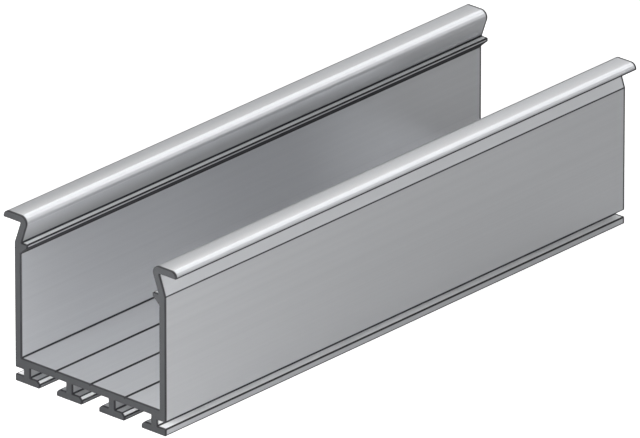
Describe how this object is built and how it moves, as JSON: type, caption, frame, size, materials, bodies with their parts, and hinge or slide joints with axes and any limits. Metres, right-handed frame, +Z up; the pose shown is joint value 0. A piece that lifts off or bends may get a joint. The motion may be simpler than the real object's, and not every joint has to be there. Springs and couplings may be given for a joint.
{
  "type": "aluminium channel profile",
  "caption": "Extruded U channel, sawn to length, with leaning necks and outward lips on its walls, snap barbs inside them and inverted T rails under its floor.",
  "frame": {"origin": "middle of the length and width, on the underside of the rails that it stands on", "axes": "+Y along the extrusion, from the sawn end nearest the picture's viewer to the far one; +X across the width, to that viewer's right; +Z up, out of the channel's open side"},
  "size_m": [0.0608, 0.1824, 0.0479],
  "materials": {
    "aluminium": "satin extruded, with faint die lines along the length and sawn ends"
  },
  "bodies": {
    "root": {"channel_profile": "aluminium"}
  },
  "joints": []
}
